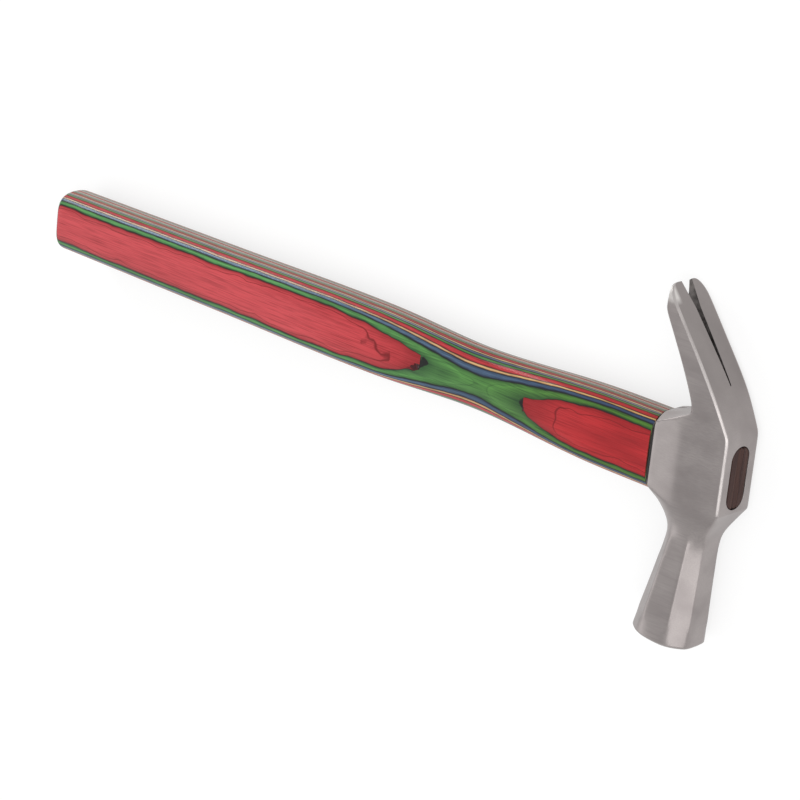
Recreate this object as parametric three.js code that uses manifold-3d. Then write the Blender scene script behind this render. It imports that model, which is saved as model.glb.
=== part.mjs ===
// A farrier's driving hammer: a forged claw head wedged on a carved handle of dyed veneers.
// The hammer lies on its side: +X runs up the handle to the front of the head, +Y to the claws
// and +Z up through the cheek. Lengths are millimetres. The pieces are drawn with x = 0 on the
// front of the head, y = 0 on the handle's axis and z = 0 on the middle plane.
import * as THREE from 'three';
import { mergeVertices } from 'three/addons/utils/BufferGeometryUtils.js';
import Module from 'manifold-3d';

const overallLength = 332;
const fitClearance = 0.3;

// Body of the head round the eye
const collarLength = 30;
const ridgeSetback = 17.5;
const frontTop = 14.1;
const frontBottom = -13;
const frontHalfWidth = 8.8;
const ridgeHalfWidth = 11;
const ridgeTop = 17.2;
const ridgeBottom = -14.1;
const ridgeArch = 1.2;
const rimHalfWidth = 9.5;
const rimSideTop = 12;
const rimSideBottom = -11.1;
const rimArch = 3;
const bodyFlat = 5;
const skinInset = 0.03;
const eyeHeight = 22.4;
const eyeWidth = 9.5;
const eyeDrop = 0.6;

// Poll, from the striking face up to the neck
const faceDrop = 64.4;
const faceSetback = 19.5;
const faceDepth = 24.8;
const faceWidth = 21.2;
const faceTilt = THREE.MathUtils.degToRad(3);
const faceChamfer = 0.8;
const neckDrop = 24.2;
const neckSetback = 14.4;
const neckDepth = 15.9;
const neckWidth = 17;
const octagonShare = 0.48;
const pollWaist = 0.14;
const frontSpread = 1;
const backSpread = 1.4;
const spreadSteps = 8;
const footDepth = 0.2;

// Claw, from the front of the head back to the tips of the tines
const clawMidSetback = 8.6;
const clawMidRise = 29;
const clawTipSetback = 32.2;
const clawTipRise = 59.7;
const clawRootThickness = 11.8;
const clawEndThickness = 4.1;
const clawTipThickness = 1.2;
const clawTipBevel = 7;
const clawHalfWidth = 9.5;
const clawTipRounding = 8;
const clawTipNarrowing = 4.6;
const clawEdge = 0.8;
const clawShoulder = 30;
const clawSteps = 12;
const clawFillet = 6;
const slotLength = 38.5;
const slotEnd = 0.5;
const slotWidth = 2.4;
const slotMouth = 5.6;
const slotFlare = 10;

// Handle sections, each given behind the front of the head: half height, half thickness and
// squareness, the superellipse's power up the height; its power through the thickness is crown
const shoulderSection = { halfHeight: 14.1, halfThickness: 9.38, squareness: 4.2 };
const throatSection = { behind: 60, halfHeight: 13.8, halfThickness: 9.34, squareness: 4.2 };
const waistSection = { behind: 113, halfHeight: 11.4, halfThickness: 8.54, squareness: 2.2 };
const swellSection = { behind: 162, halfHeight: 13.1, halfThickness: 9.3, squareness: 4 };
const gripSection = { behind: 240, halfHeight: 12.6, halfThickness: 9.38, squareness: 4.2 };
const buttSection = { halfHeight: 11.9, halfThickness: 9.38, squareness: 4.2 };
const crown = 2.3;
const buttRounding = 2.6;
const handleDrop = 0.25;
const stationSpacing = 10;
const featherEdge = 0.02;
const cheekSteps = 4;
const edgeSteps = 2;

// Veneers, counted outwards from the middle sheet
const sheetThickness = { red: 1.15, green: 0.75, blue: 0.75, cream: 0.5 };
const coreDye = 'red';
const dyeOrder = ['cream', 'blue', 'green', 'red'];
const sheetsPerSide = 12;

// Fixing
const beadThickness = 1.5;
const beadRecess = 0.25;
const beadSteps = 32;
const wedgeLength = 24;
const wedgeThick = 2.6;
const wedgeThin = 0.8;

const dyeColour = { red: '#a83a3c', green: '#3f7a3a', blue: '#43597a', cream: '#c9a67c' };
const steel = new THREE.MeshStandardMaterial({ color: '#8f8a88', roughness: 0.38, metalness: 1 });
const resin = new THREE.MeshStandardMaterial({ color: '#15110f', roughness: 0.4, metalness: 0 });
const wedgeWood = new THREE.MeshStandardMaterial({ color: '#4a3835', roughness: 0.5, metalness: 0 });
const dyedWood = Object.fromEntries(Object.entries(dyeColour).map(
  ([dye, color]) => [dye, new THREE.MeshStandardMaterial({ color, roughness: 0.3, metalness: 0 })],
));

const wasm = await Module();
wasm.setup();

// A closed geometry as a solid that can be joined and cut
function solidOf(geometry) {
  geometry.deleteAttribute('normal');
  geometry.deleteAttribute('uv');
  const merged = mergeVertices(geometry);
  return new wasm.Manifold(new wasm.Mesh({
    numProp: 3,
    vertProperties: merged.attributes.position.array,
    triVerts: new Uint32Array(merged.index.array),
  }));
}

function geometryOf(solid) {
  const mesh = solid.getMesh();
  const geometry = new THREE.BufferGeometry();
  geometry.setAttribute('position', new THREE.BufferAttribute(mesh.vertProperties, 3));
  geometry.setIndex(new THREE.BufferAttribute(mesh.triVerts, 1));
  return geometry;
}

// A skin through rings of equal count, each convex and anticlockwise about the way it runs
function loft(rings) {
  const count = rings[0].length;
  const index = [];
  for (let j = 1; j < count - 1; j += 1) {
    index.push(0, j + 1, j);
  }
  for (let i = 0; i < rings.length - 1; i += 1) {
    for (let j = 0; j < count; j += 1) {
      const a = i * count + j;
      const b = i * count + (j + 1) % count;
      index.push(a, b, b + count, a, b + count, a + count);
    }
  }
  const last = (rings.length - 1) * count;
  for (let j = 1; j < count - 1; j += 1) {
    index.push(last, last + j, last + j + 1);
  }
  const geometry = new THREE.BufferGeometry().setFromPoints(rings.flat());
  geometry.setIndex(index);
  return geometry;
}

const axisX = new THREE.Vector3(1, 0, 0);
const axisY = new THREE.Vector3(0, 1, 0);
const axisZ = new THREE.Vector3(0, 0, 1);

// Eight corners square to a way that lies in the middle plane; depth runs front to back
function octagonRing(centre, way, halfDepth, halfWidth, flatDepth, flatWidth) {
  const front = new THREE.Vector3().crossVectors(way, axisZ);
  const corners = [
    [-flatWidth, -halfDepth], [flatWidth, -halfDepth], [halfWidth, -flatDepth], [halfWidth, flatDepth],
    [flatWidth, halfDepth], [-flatWidth, halfDepth], [-halfWidth, flatDepth], [-halfWidth, -flatDepth],
  ];
  return corners.map(([across, deep]) => centre.clone()
    .addScaledVector(axisZ, across)
    .addScaledVector(front, deep));
}

// The same with unlike half widths in front and behind, and its corners eased off by an edge
function taperedRing(centre, way, halfDepth, frontHalf, backHalf, edge) {
  const front = new THREE.Vector3().crossVectors(way, axisZ);
  const flat = halfDepth - edge;
  const corners = [
    [-backHalf + edge, -halfDepth], [backHalf - edge, -halfDepth], [backHalf, -flat], [frontHalf, flat],
    [frontHalf - edge, halfDepth], [-frontHalf + edge, halfDepth], [-frontHalf, flat], [-backHalf, -flat],
  ];
  return corners.map(([across, deep]) => centre.clone()
    .addScaledVector(axisZ, across)
    .addScaledVector(front, deep));
}

// A section of the body round the eye, arched over its top and bottom
function bodyRing(x, halfWidth, sideTop, sideBottom, arch, flat) {
  const corners = [
    [sideBottom, -halfWidth], [sideTop, -halfWidth], [sideTop + arch, -flat], [sideTop + arch, flat],
    [sideTop, halfWidth], [sideBottom, halfWidth], [sideBottom - arch, flat], [sideBottom - arch, -flat],
  ];
  return corners.map(([y, z]) => new THREE.Vector3(x, y, z));
}

// Half width of the front side facets at a distance behind the front
function sideHalf(setback) {
  return THREE.MathUtils.lerp(frontHalfWidth, ridgeHalfWidth, Math.min(1, setback / ridgeSetback));
}

function eyeBody() {
  const frontFlat = frontHalfWidth - 2 * clawEdge;
  const edgeHalf = sideHalf(clawEdge);
  const edgeTop = THREE.MathUtils.lerp(frontTop, ridgeTop, clawEdge / ridgeSetback);
  return solidOf(loft([
    bodyRing(-collarLength, rimHalfWidth, rimSideTop, rimSideBottom, rimArch, bodyFlat),
    bodyRing(-ridgeSetback, ridgeHalfWidth, ridgeTop, ridgeBottom, ridgeArch, bodyFlat),
    bodyRing(-clawEdge, edgeHalf, edgeTop, frontBottom, clawEdge / 2, frontFlat),
    bodyRing(0, frontHalfWidth - clawEdge, frontTop, frontBottom, clawEdge / 2, frontFlat),
  ]));
}

// Corners just inside the body's own facets, in an octagon's order, where the poll runs into it
function bodyFoot() {
  const rimBottom = rimSideBottom - rimArch / 2;
  const sideBottom = (ridgeBottom + frontBottom) / 2;
  const corners = [
    [collarLength - clawEdge, rimBottom + footDepth, (rimHalfWidth + bodyFlat) / 2 - footDepth],
    [ridgeSetback, ridgeBottom + footDepth, sideHalf(ridgeSetback) - skinInset],
    [ridgeSetback / 2, sideBottom + footDepth, sideHalf(ridgeSetback / 2) - skinInset],
    [skinInset, frontBottom, frontHalfWidth - clawEdge - skinInset],
  ];
  const near = corners.map(([setback, y, z]) => new THREE.Vector3(-setback, y, z));
  const far = corners.map(([setback, y, z]) => new THREE.Vector3(-setback, y, -z));
  return [far[0], near[0], near[1], near[2], near[3], far[3], far[2], far[1]];
}

// The poll narrows from its face to the neck, then spreads again into the body
function poll() {
  const ring = (setback, drop, depth, width, tilt, share) => {
    const way = new THREE.Vector3(Math.sin(tilt), Math.cos(tilt), 0);
    const centre = new THREE.Vector3(-setback, -drop, 0);
    return octagonRing(centre, way, depth / 2, width / 2, depth / 2 * share, width / 2 * share);
  };
  const rise = new THREE.Vector2(Math.sin(faceTilt), Math.cos(faceTilt)).multiplyScalar(faceChamfer);
  const inset = 2 * faceChamfer;
  const between = (face, neck, part) => THREE.MathUtils.lerp(face, neck, part);
  const waistPart = 0.5 + pollWaist / 2;
  const neck = ring(neckSetback, neckDrop, neckDepth, neckWidth, 0, octagonShare);
  const intoBody = bodyFoot();
  const sideSpread = (frontSpread + backSpread) / 2;
  const halfSpread = [backSpread, sideSpread, frontSpread, frontSpread];
  const cornerSpread = [backSpread, ...halfSpread, ...halfSpread.slice(1).reverse()];
  const spread = (part) => neck.map((corner, i) => {
    const eased = part ** cornerSpread[i];
    return corner.clone().lerp(intoBody[i], eased).setY(between(corner.y, intoBody[i].y, part));
  });
  return solidOf(loft([
    ring(faceSetback, faceDrop, faceDepth - inset, faceWidth - inset, faceTilt, octagonShare),
    ring(faceSetback - rise.x, faceDrop - rise.y, faceDepth, faceWidth, faceTilt, octagonShare),
    ring(
      between(faceSetback, neckSetback, 0.5),
      between(faceDrop, neckDrop, 0.5),
      between(faceDepth, neckDepth, waistPart),
      between(faceWidth, neckWidth, waistPart),
      faceTilt / 2,
      octagonShare,
    ),
    ...Array.from({ length: spreadSteps + 1 }, (_, i) => spread(i / spreadSteps)),
  ]));
}

const clawLine = new THREE.SplineCurve([
  new THREE.Vector2(0, frontTop),
  new THREE.Vector2(-clawMidSetback, clawMidRise),
  new THREE.Vector2(-clawTipSetback, clawTipRise),
]);
const clawRun = clawLine.getLength();

// The tines follow the outer line, thinning to a bevel at the tips and filleted to the body behind
function clawRing(part) {
  const point = clawLine.getPointAt(part);
  const tangent = clawLine.getTangentAt(part);
  const way = new THREE.Vector3(tangent.x, tangent.y, 0);
  const toTip = clawRun * (1 - part);
  const fromRoot = clawRun * part;
  const body = THREE.MathUtils.lerp(clawRootThickness, clawEndThickness, part);
  const bevel = Math.min(1, toTip / clawTipBevel);
  const fillet = Math.max(0, 1 - fromRoot / (2 * clawFillet));
  const thickness = THREE.MathUtils.lerp(clawTipThickness, body, bevel) + clawFillet * fillet * fillet;
  const front = new THREE.Vector3().crossVectors(way, axisZ);
  const settled = THREE.MathUtils.smoothstep(fromRoot, clawFillet, clawShoulder);
  const intoTip = Math.max(0, 1 - toTip / clawTipRounding);
  const narrowed = clawTipNarrowing * (1 - Math.sqrt(1 - intoTip * intoTip)) + skinInset;
  const half = (setback) => THREE.MathUtils.lerp(sideHalf(setback), clawHalfWidth, settled) - narrowed;
  const edge = Math.min(clawEdge, thickness / 4);
  const centre = new THREE.Vector3(point.x, point.y, 0).addScaledVector(front, -thickness / 2);
  const outerHalf = half(-point.x);
  const innerHalf = half(thickness * front.x - point.x);
  return taperedRing(centre, way, thickness / 2, outerHalf, innerHalf, edge);
}

function claw() {
  const bevelStart = 1 - clawTipBevel / clawRun;
  const shaftParts = Array.from({ length: clawSteps + 1 }, (_, i) => bevelStart * i / clawSteps);
  const tipParts = [0.9, 0.5, 0.2, 0.05, 0].map((share) => 1 - clawTipRounding * share / clawRun);
  const root = clawRing(0).map((corner) => corner.clone().setY(corner.y - clawFillet));
  return solidOf(loft([root, ...[...shaftParts, ...tipParts].map(clawRing)]));
}

// The slot flares at the tips, runs in along the outer line to a V and goes right through
function clawSlot() {
  const endPart = 1 - slotLength / clawRun;
  const end = clawLine.getPointAt(endPart);
  const tip = clawLine.getPointAt(1);
  const along = new THREE.Vector3(tip.x - end.x, tip.y - end.y, 0);
  const run = along.length();
  along.normalize();
  const out = new THREE.Vector3().crossVectors(along, axisZ);
  const throat = run - slotFlare;
  const mouth = slotMouth + (slotMouth - slotWidth) * clawTipBevel / slotFlare;
  const outline = new THREE.Shape()
    .moveTo(0, -slotEnd / 2)
    .lineTo(throat, -slotWidth / 2)
    .lineTo(run + clawTipBevel, -mouth / 2)
    .lineTo(run + clawTipBevel, mouth / 2)
    .lineTo(throat, slotWidth / 2)
    .lineTo(0, slotEnd / 2);
  const geometry = new THREE.ExtrudeGeometry(outline, { depth: 4 * clawRootThickness, bevelEnabled: false });
  geometry.applyMatrix4(new THREE.Matrix4().makeBasis(along, axisZ, out));
  const start = new THREE.Vector3(end.x, end.y, 0).addScaledVector(out, -3 * clawRootThickness);
  geometry.translate(start.x, start.y, start.z);
  return solidOf(geometry);
}

// A slot with round ends, drawn across the handle with its long side up the head
function roundedSlot(path, height, width) {
  const radius = width / 2;
  const reach = height / 2 - radius;
  return path
    .absarc(reach - eyeDrop, 0, radius, -Math.PI / 2, Math.PI / 2)
    .absarc(-reach - eyeDrop, 0, radius, Math.PI / 2, 3 * Math.PI / 2);
}

const acrossHandle = new THREE.Matrix4().makeBasis(axisY, axisZ, axisX);

function eyeHole() {
  const outline = roundedSlot(new THREE.Shape(), eyeHeight, eyeWidth);
  const depth = collarLength + 2 * clawFillet;
  const geometry = new THREE.ExtrudeGeometry(outline, { depth, bevelEnabled: false, curveSegments: 8 });
  geometry.applyMatrix4(acrossHandle);
  geometry.translate(-collarLength - clawFillet, 0, 0);
  return solidOf(geometry);
}

const shoulderBehind = collarLength + beadThickness;

// Sizes of the handle at a distance behind the front of the head
const sections = [
  { behind: shoulderBehind, ...shoulderSection },
  throatSection,
  waistSection,
  swellSection,
  gripSection,
  { behind: overallLength, ...buttSection },
];
const sectionCurve = new THREE.CubicInterpolant(
  sections.map((section) => section.behind),
  sections.flatMap((section) => [section.halfHeight, section.halfThickness, section.squareness]),
  3,
);

function handleSection(behind) {
  const [halfHeight, halfThickness, squareness] = sectionCurve.evaluate(behind);
  const intoEnd = Math.max(0, 1 - (overallLength - behind) / buttRounding);
  const roundedOff = buttRounding * (1 - Math.sqrt(1 - intoEnd * intoEnd));
  return { halfHeight: halfHeight - roundedOff, halfThickness: halfThickness - roundedOff, squareness };
}

// Half height of the handle at a height z on the section's side
function handleReach(section, z) {
  const share = Math.min(1, Math.abs(z) / section.halfThickness) ** crown;
  return section.halfHeight * (1 - share) ** (1 / section.squareness);
}

const tenonHalfHeight = eyeHeight / 2 - fitClearance;
const tenonHalfWidth = eyeWidth / 2 - fitClearance;

function tenonReach(z) {
  const round = Math.sqrt(Math.max(0, tenonHalfWidth ** 2 - z ** 2));
  return tenonHalfHeight - tenonHalfWidth + round;
}

// Distances behind the front at which the handle is sectioned, from the butt to the shoulder
const roundedEnd = [0, 0.12, 0.4, 1].map((part) => overallLength - buttRounding * part);
const barLength = overallLength - buttRounding - shoulderBehind;
const barSteps = Math.round(barLength / stationSpacing);
const barStations = Array.from({ length: barSteps }, (_, i) => (
  overallLength - buttRounding - barLength * (i + 1) / barSteps
));
const stations = [...roundedEnd, ...barStations];

// Runs of the handle that are thicker than a height, each with its own end stations
function runsAbove(height) {
  const spare = (behind) => handleSection(behind).halfThickness - featherEdge - height;
  const crossing = (from, to) => {
    let outside = spare(from) < 0 ? from : to;
    let inside = outside === from ? to : from;
    for (let i = 0; i < 40; i += 1) {
      const middle = (outside + inside) / 2;
      if (spare(middle) < 0) {
        outside = middle;
      } else {
        inside = middle;
      }
    }
    return inside;
  };
  const runs = [];
  let run = spare(stations[0]) > 0 ? [stations[0]] : [];
  for (let i = 1; i < stations.length; i += 1) {
    const before = spare(stations[i - 1]) > 0;
    const here = spare(stations[i]) > 0;
    if (before !== here) {
      run.push(crossing(stations[i - 1], stations[i]));
    }
    if (before && !here) {
      runs.push(run);
      run = [];
    }
    if (here) {
      run.push(stations[i]);
    }
  }
  return run.length > 1 ? [...runs, run] : runs;
}

// One sheet's section between its two glue faces, following the carved skin at its edges
function sheetRing(x, inner, outer, side, limit, reach, drop, steps) {
  const top = Math.min(outer, limit);
  const edge = Array.from({ length: steps + 1 }, (_, i) => {
    const eased = 1 - (1 - i / steps) ** 2;
    const z = THREE.MathUtils.lerp(inner, top, eased);
    return { y: reach(z), z };
  });
  const right = edge.map(({ y, z }) => new THREE.Vector3(x, y - drop, side * z));
  const left = edge.map(({ y, z }) => new THREE.Vector3(x, -y - drop, side * z)).reverse();
  return side > 0 ? [...right, ...left] : [...right, ...left].reverse();
}

// Sheets from the middle outwards: dye and the heights of their two glue faces
const sheets = [];
let gluedTo = sheetThickness[coreDye] / 2;
for (let i = 0; i < sheetsPerSide; i += 1) {
  const dye = dyeOrder[i % dyeOrder.length];
  sheets.push({ dye, inner: gluedTo, outer: gluedTo + sheetThickness[dye] });
  gluedTo += sheetThickness[dye];
}

// The wedge is drawn in the middle plane and grows by its clearance to make the saw cut for it
function wedgeSolid(grow, height) {
  const thick = wedgeThick / 2 + grow;
  const thin = wedgeThin / 2 + grow;
  const outline = new THREE.Shape()
    .moveTo(-wedgeLength - grow, -thin)
    .lineTo(0, -thick)
    .lineTo(0, thick)
    .lineTo(-wedgeLength - grow, thin);
  const geometry = new THREE.ExtrudeGeometry(outline, { depth: height, bevelEnabled: false });
  geometry.applyMatrix4(new THREE.Matrix4().makeBasis(axisX, axisZ, axisY.clone().negate()));
  geometry.translate(0, height / 2 - eyeDrop, 0);
  return geometry;
}

const kerf = solidOf(wedgeSolid(fitClearance, 2 * eyeHeight));
const kerfReach = wedgeThick / 2 + fitClearance;

const hammer = new THREE.Group();

function addPiece(name, geometry, material) {
  const mesh = new THREE.Mesh(geometry, material);
  mesh.name = name;
  hammer.add(mesh);
}

const head = eyeBody().add(poll()).add(claw()).subtract(eyeHole()).subtract(clawSlot());
addPiece('head', geometryOf(head), steel);

// A sheet inside the tenon's width runs on through the eye, and the saw cut takes what it meets
function sheetGeometry(run, inner, outer, side) {
  const showsOnCheek = outer > waistSection.halfThickness;
  const steps = showsOnCheek ? cheekSteps : edgeSteps;
  const rings = run.map((behind) => {
    const section = handleSection(behind);
    const reach = (z) => handleReach(section, z);
    const limit = section.halfThickness - featherEdge / 2;
    return sheetRing(-behind, inner, outer, side, limit, reach, handleDrop, steps);
  });
  const inTenon = Math.abs(inner) < tenonHalfWidth - sheetThickness.cream;
  if (inTenon) {
    for (const behind of [shoulderBehind, 0]) {
      const limit = tenonHalfWidth - featherEdge;
      rings.push(sheetRing(-behind, inner, outer, side, limit, tenonReach, eyeDrop, steps));
    }
  }
  const geometry = loft(rings);
  const meetsKerf = inTenon && Math.abs(inner) < kerfReach;
  return meetsKerf ? geometryOf(solidOf(geometry).subtract(kerf)) : geometry;
}

function addSheet(number, dye, inner, outer, side) {
  const label = `veneer_${String(number).padStart(2, '0')}_${dye}`;
  const runs = runsAbove(Math.max(0, inner));
  const places = runs.length > 1 ? ['_rear', '_front'] : [''];
  runs.forEach((run, i) => {
    addPiece(label + places[i], sheetGeometry(run, inner, outer, side), dyedWood[dye]);
  });
}

sheets.forEach(({ dye, inner, outer }, i) => {
  addSheet(sheetsPerSide - i, dye, inner, outer, 1);
  addSheet(sheetsPerSide + 2 + i, dye, inner, outer, -1);
});
addSheet(sheetsPerSide + 1, coreDye, -sheetThickness[coreDye] / 2, sheetThickness[coreDye] / 2, 1);

addPiece('eye_wedge', wedgeSolid(0, 2 * tenonReach(wedgeThick / 2)), wedgeWood);

// The bead of resin lies round the tenon between the shoulder and the back of the head
function beadGeometry() {
  const section = handleSection(shoulderBehind);
  const spots = Array.from({ length: beadSteps }, (_, i) => {
    const angle = 2 * Math.PI * i / beadSteps;
    const up = Math.sign(Math.cos(angle)) * Math.abs(Math.cos(angle)) ** (2 / section.squareness);
    const across = Math.sign(Math.sin(angle)) * Math.abs(Math.sin(angle)) ** (2 / crown);
    return new THREE.Vector2(
      up * (section.halfHeight - beadRecess) - handleDrop,
      across * (section.halfThickness - beadRecess),
    );
  });
  const outline = new THREE.Shape(spots);
  outline.holes.push(roundedSlot(new THREE.Path(), eyeHeight, eyeWidth));
  const options = { depth: beadThickness, bevelEnabled: false, curveSegments: 6 };
  const geometry = new THREE.ExtrudeGeometry(outline, options);
  geometry.applyMatrix4(acrossHandle);
  geometry.translate(-shoulderBehind, 0, 0);
  return geometry;
}

addPiece('resin_bead', beadGeometry(), resin);

// The origin sits under the middle of the hammer, on the surface it lies on
const bounds = new THREE.Box3().setFromObject(hammer);
const middle = bounds.getCenter(new THREE.Vector3());
hammer.position.set(-middle.x, -middle.y, -bounds.min.z);

export default hammer;
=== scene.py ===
from math import asin, cos, pi, radians, sin, sqrt

import bmesh
import bpy
from mathutils import Matrix, Vector, noise


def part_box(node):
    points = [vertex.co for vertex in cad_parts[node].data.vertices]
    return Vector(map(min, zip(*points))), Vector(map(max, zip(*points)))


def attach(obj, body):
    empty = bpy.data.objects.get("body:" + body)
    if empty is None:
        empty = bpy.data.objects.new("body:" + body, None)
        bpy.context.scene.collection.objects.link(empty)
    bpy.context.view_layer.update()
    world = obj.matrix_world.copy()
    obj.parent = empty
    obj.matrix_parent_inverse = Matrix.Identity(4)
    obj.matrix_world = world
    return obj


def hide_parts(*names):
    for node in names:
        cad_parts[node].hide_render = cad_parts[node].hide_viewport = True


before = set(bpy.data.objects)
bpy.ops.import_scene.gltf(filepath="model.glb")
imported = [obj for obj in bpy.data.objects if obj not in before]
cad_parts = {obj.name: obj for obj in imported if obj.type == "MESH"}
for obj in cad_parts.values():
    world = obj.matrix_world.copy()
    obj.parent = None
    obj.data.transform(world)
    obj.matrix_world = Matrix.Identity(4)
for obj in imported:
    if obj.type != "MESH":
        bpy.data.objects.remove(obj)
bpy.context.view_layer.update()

# The head is forged steel, ground to facets and left satin: a body round the eye with bevelled
# cheeks, an eight-sided poll that widens to its striking face, and two claws parted by a narrow
# slot that opens out at the tips. It is one piece, driven on to the handle's tenon.
mm = 0.001
front_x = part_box("head")[1].x
core_low, core_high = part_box("veneer_13_red")
handle_drop = 0.25
axis_y = (core_low.y + core_high.y) / 2 + handle_drop * mm
middle_z = (core_low.z + core_high.z) / 2

collar_length = 30
ridge_setback = 17.5
front_half, ridge_half, rim_half = 8.8, 11, 9.5
front_top, front_bottom = 14.1, -13
body_flat = 5
edge_bevel = 0.6
facet_angle = 28
rounding_levels = 4
weld_distance = 1e-8

# Heights of the body's rows at the front, the cheek, the ridge, the rim and the back
body_foot = front_bottom, -13.6, -14.1, -11.1, -14.1
below_eye = -5.5, -5.5, -5.5, -5, -5
above_eye = 5.5, 5.5, 5.5, 5, 5
body_shoulder = front_top, 15.7, 17.2, 12, 15

face_drop, face_setback, face_depth, face_width = 64.4, 19.5, 24.8, 21.2
face_tilt = radians(3)
face_chamfer = 0.8
neck_drop, neck_setback, neck_depth, neck_width = 24.2, 14.4, 15.9, 17
facet_share = 0.48
poll_waist = 0.07
poll_stations = 0.1, 0.45, 0.8, 1
foot_stations = 0.5, 0.82
foot_powers = 1, 1, 1, 1.2, 1.3, 1.4, 1.4, 1.4

claw_points = [Vector((0, front_top)), Vector((-8.6, 29)), Vector((-32.2, 59.7))]
claw_root, claw_end, claw_tip = 11.8, 4.1, 1.2
claw_half = 9.5
claw_sample_count = 400
settle_start, settle_run = 6, 24
tip_bevel, tip_rounding, tip_narrowing = 7, 8, 4.6
claw_stations = 13, 21, 30, 41
tip_stations = tip_bevel, 4.4, 2.6, 1.1, 0.3, 0

# Where the claw springs from the body: setbacks and heights at the cheek, ridge, corner and back
root_start, root_draw_in = 3.6, 1
root_cheek, root_ridge, root_corner, root_back = (9.4, 18.6), (15.4, 19.2), (17, 18.7), (17.2, 18.6)

eye_height, eye_width, eye_drop = 22.4, 9.5, 0.6
eye_past, eye_lip = 5, 0.3
eye_points = 64
slot_length, slot_flare, slot_past = 38.5, 10, 5
slot_end, slot_width, slot_mouth = 0.5, 2.4, 5.6
slot_lean = -1.2, -0.6
slot_cut_floor, slot_cut_top = -30, 8


def place(x, y, z):
    """A point drawn in mm from the front of the head, the handle's axis and its middle plane"""
    return Vector((front_x + x * mm, axis_y + y * mm, middle_z + z * mm))


def mix(a, b, part):
    return a + (b - a) * part


def add_skin(name, rows, **values):
    """A grid laid on the rows, sewn along its seam and closed at both ends"""
    around, along = len(rows[0]), len(rows) - 1
    bpy.ops.object.select_all(action="DESELECT")
    bpy.ops.mesh.primitive_grid_add(x_subdivisions=around, y_subdivisions=along, size=1)
    piece = bpy.context.object
    piece.name = piece.data.name = name
    mesh = piece.data
    spots = [
        (round((v.co.y + 0.5) * along), round((v.co.x + 0.5) * around) % around)
        for v in mesh.vertices
    ]
    for label, kind in [("row", "INT"), ("column", "INT")] + [(v, "FLOAT") for v in values]:
        mesh.attributes.new(label, kind, "POINT")
    mesh.attributes["row"].data.foreach_set("value", [row for row, _ in spots])
    mesh.attributes["column"].data.foreach_set("value", [column for _, column in spots])
    for label, grid in values.items():
        mesh.attributes[label].data.foreach_set("value", [grid[r][c] for r, c in spots])
    for vertex, (row, column) in zip(mesh.vertices, spots):
        vertex.co = rows[row][column]
    bpy.ops.object.mode_set(mode="EDIT")
    bpy.ops.mesh.select_all(action="SELECT")
    bpy.ops.mesh.remove_doubles(threshold=weld_distance)
    bpy.ops.mesh.fill_holes(sides=0)
    bpy.ops.mesh.select_all(action="SELECT")
    bpy.ops.mesh.normals_make_consistent(inside=False)
    bpy.ops.object.mode_set(mode="OBJECT")
    return piece


def finish_mesh(piece):
    """Drops the marks that the skin was laid out by"""
    for label in ("row", "column"):
        piece.data.attributes.remove(piece.data.attributes[label])


def apply_modifier(piece, kind, **settings):
    modifier = piece.modifiers.new(kind.title(), kind)
    for label, value in settings.items():
        setattr(modifier, label, value)
    bpy.context.view_layer.objects.active = piece
    bpy.ops.object.modifier_apply(modifier=modifier.name)


def cut(piece, cutter):
    apply_modifier(piece, "BOOLEAN", object=cutter, operation="DIFFERENCE", solver="EXACT")
    bpy.data.meshes.remove(cutter.data)


def shade_facets(piece, angle):
    """Smooth shading that keeps the lines that turn by more than an angle"""
    bpy.ops.object.select_all(action="DESELECT")
    piece.select_set(True)
    bpy.context.view_layer.objects.active = piece
    bpy.ops.object.shade_smooth_by_angle(angle=radians(angle))


def side_half(setback):
    """Half width across the cheeks at a distance behind the front"""
    return mix(front_half, ridge_half, min(1, setback / ridge_setback))


def poll_ring(setback, drop, depth, width, tilt):
    """Half of an eight-sided section, from its front to its back"""
    deep, wide = depth / 2, width / 2
    flat_deep, flat_wide = facet_share * deep, facet_share * wide
    eased = (1 + facet_share) / 2
    corners = [
        (deep, 0), (deep, flat_wide), (eased * deep, eased * wide), (flat_deep, wide),
        (-flat_deep, wide), (-deep, flat_wide), (-deep, flat_wide / 2), (-deep, 0),
    ]
    return [(d * cos(tilt) - setback, -d * sin(tilt) - drop, z) for d, z in corners]


def poll_part(part):
    """A section of the poll from its face to the neck, drawn in a little between them"""
    narrowed = part + poll_waist * sin(pi * part)
    return poll_ring(
        mix(face_setback, neck_setback, part),
        mix(face_drop, neck_drop, part),
        mix(face_depth, neck_depth, narrowed),
        mix(face_width, neck_width, narrowed),
        face_tilt * (1 - part),
    )


def body_ring(front, side, ridge, back, back_flat):
    """Half of a row of the body, at the given heights on its own plan"""
    cheek_setback = ridge_setback / 2
    return [
        (0, front, 0),
        (0, front, front_half - edge_bevel),
        (-edge_bevel, front, side_half(edge_bevel)),
        (-cheek_setback, side, side_half(cheek_setback)),
        (-ridge_setback, ridge, ridge_half),
        (-collar_length, back, rim_half),
        (-collar_length, back_flat, body_flat),
        (-collar_length, back_flat, 0),
    ]


def spread(part):
    """The neck runs out into the body's lower edge, its back corners last"""
    ring = []
    for neck, foot, power in zip(poll_part(1), body_ring(*body_foot), foot_powers):
        eased = part**power
        x, z = mix(neck[0], foot[0], eased), mix(neck[2], foot[2], eased)
        ring.append((x, mix(neck[1], foot[1], part), z))
    return ring


def spline_point(points, part):
    """A smooth line through a few points"""
    spans = len(points) - 1
    span = min(spans - 1, int(part * spans))
    t = part * spans - span
    a, b = points[span], points[span + 1]
    before, after = points[max(0, span - 1)], points[min(spans, span + 2)]
    u, v = (b - before) / 2, (after - a) / 2
    return (2 * a - 2 * b + u + v) * t**3 + (3 * b - 3 * a - 2 * u - v) * t**2 + u * t + a


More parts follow.
